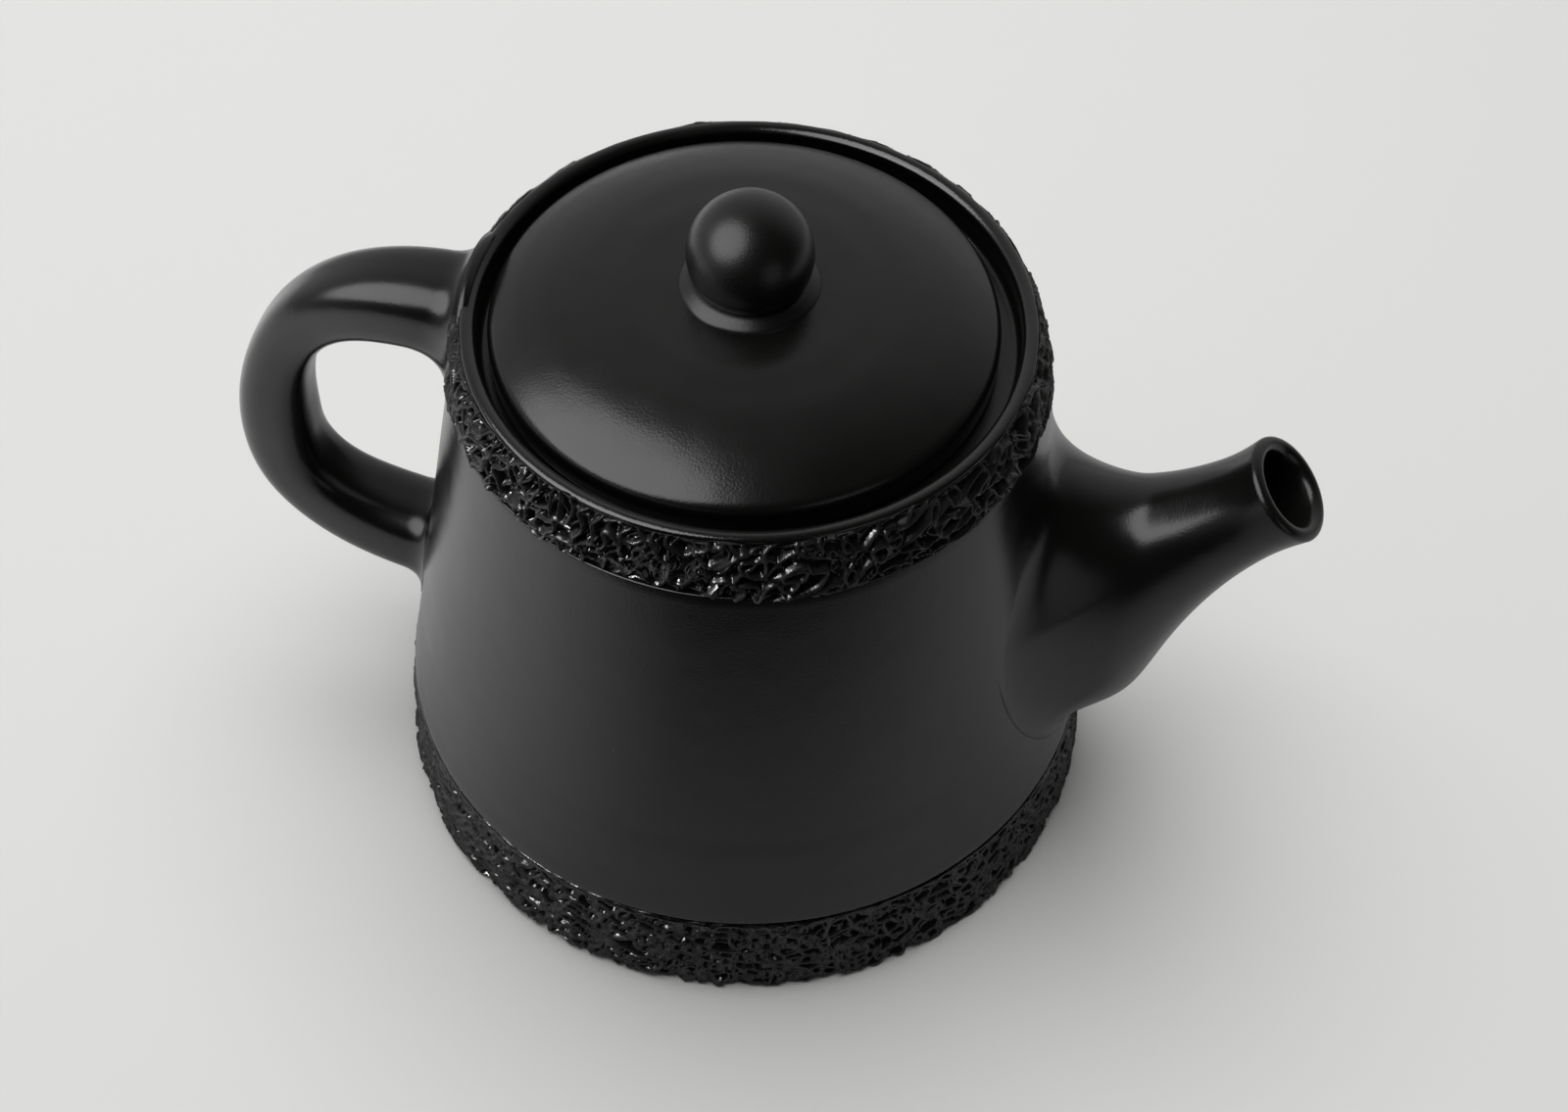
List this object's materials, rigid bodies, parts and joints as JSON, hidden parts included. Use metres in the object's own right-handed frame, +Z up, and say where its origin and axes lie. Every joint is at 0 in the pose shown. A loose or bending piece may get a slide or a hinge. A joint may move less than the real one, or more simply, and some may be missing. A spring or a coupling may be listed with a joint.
{
  "type": "teapot",
  "caption": "Black glazed stoneware teapot: tapered pot with textured bands at lip and foot, ear handle, straight-rising spout and a domed lift-off lid with a ball knob.",
  "frame": {"origin": "centre of the foot, on the plane of the table", "axes": "+Z up along the pot's axis of turning; +X towards the spout, so the handle is on the -X side"},
  "size_m": [0.2182, 0.1508, 0.1497],
  "materials": {
    "glaze": "satin black glaze",
    "band_glaze": "glossy black glaze pooled in a rough texture",
    "lid_glaze": "satin black glaze",
    "knob_glaze": "satin black glaze"
  },
  "bodies": {
    "pot": {"vessel": "glaze", "lower_band": "band_glaze", "upper_band": "band_glaze", "spout": "glaze", "spout_root": "glaze", "handle": "glaze", "handle_top_root": "glaze", "handle_low_root": "glaze"},
    "lid": {"lid": "lid_glaze", "lid_flange": "lid_glaze", "knob_collar": "lid_glaze", "knob": "knob_glaze"}
  },
  "joints": [
    {"name": "lid_lift", "type": "slide", "parent": "pot", "child": "lid", "axis": [0, 0, 1], "range_m": [0, 0.1]}
  ]
}
